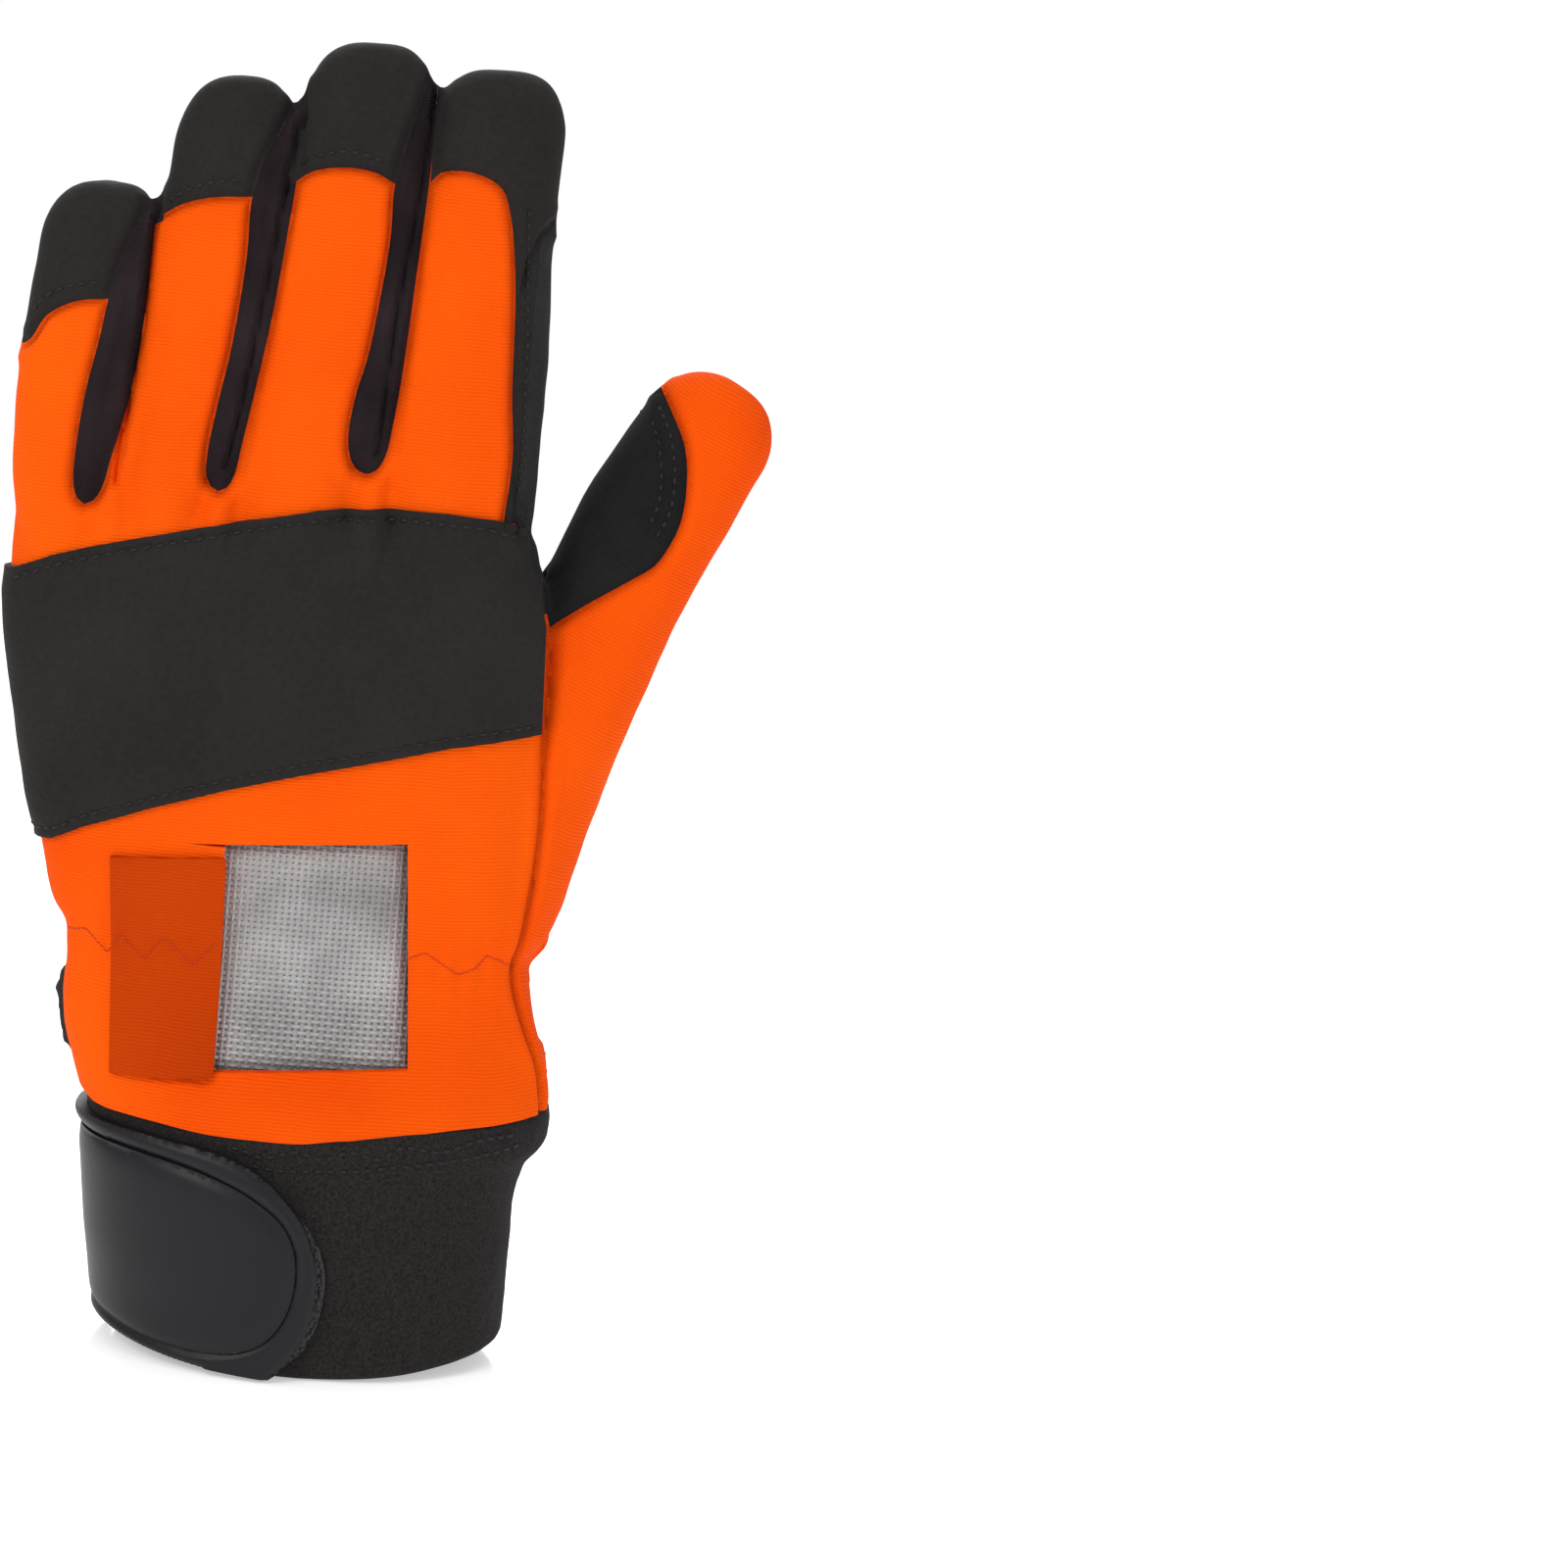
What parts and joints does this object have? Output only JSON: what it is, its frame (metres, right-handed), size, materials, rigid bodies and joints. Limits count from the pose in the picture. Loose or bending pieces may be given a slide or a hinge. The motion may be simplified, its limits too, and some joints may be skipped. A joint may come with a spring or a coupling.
{
  "type": "chainsaw glove",
  "caption": "Padded left-hand work glove with orange ribbed back, black fingertip and knuckle covers, padded suede palm, rubber wrist strap and a cutaway window over silver mesh.",
  "frame": {"origin": "centre of the wrist opening, level with the lowest point of the hem", "axes": "+X towards the thumb side, +Y towards the palm, +Z along the fingers"},
  "size_m": [0.1452, 0.066, 0.2533],
  "materials": {
    "orange_cloth": "matte stretch cloth with fine crosswise ribs",
    "suede": "matte suede with a soft nap and stitched seams",
    "black_knit": "fine black knit",
    "cap_cloth": "smooth foam-backed cloth with a fine knit face",
    "loop_cloth": "brushed loop cloth",
    "woven_elastic": "woven elastic with a twill face",
    "strap_rubber": "smooth moulded rubber, satin",
    "hook_nylon": "nylon hook tape",
    "silver_mesh": "shiny woven silver yarn mesh",
    "flap_cloth": "reverse of the ribbed stretch cloth, matte"
  },
  "bodies": {
    "root": {"back_panel": "orange_cloth", "thumb_back_panel": "orange_cloth", "palm_panel": "suede", "thumb_crotch_patch": "suede", "gusset_little_ring": "black_knit", "gusset_ring_middle": "black_knit", "gusset_middle_index": "black_knit", "fingertip_cap_little": "cap_cloth", "fingertip_cap_ring": "cap_cloth", "fingertip_cap_middle": "cap_cloth", "fingertip_cap_index": "cap_cloth", "knuckle_band": "cap_cloth", "palm_knuckle_pad": "suede", "palm_ridge_pad": "suede", "palm_heel_pad": "suede", "finger_pad_upper_little": "suede", "finger_pad_upper_ring": "suede", "finger_pad_upper_middle": "suede", "finger_pad_upper_index": "suede", "finger_pad_lower_little": "suede", "finger_pad_lower_ring": "suede", "finger_pad_lower_middle": "suede", "finger_pad_lower_index": "suede", "cuff_loop_panel": "loop_cloth", "cuff_elastic": "woven_elastic", "wrist_strap": "strap_rubber", "strap_patch": "strap_rubber", "strap_hook_tape": "hook_nylon", "protective_mesh": "silver_mesh", "cutaway_flap": "flap_cloth"}
  },
  "joints": []
}
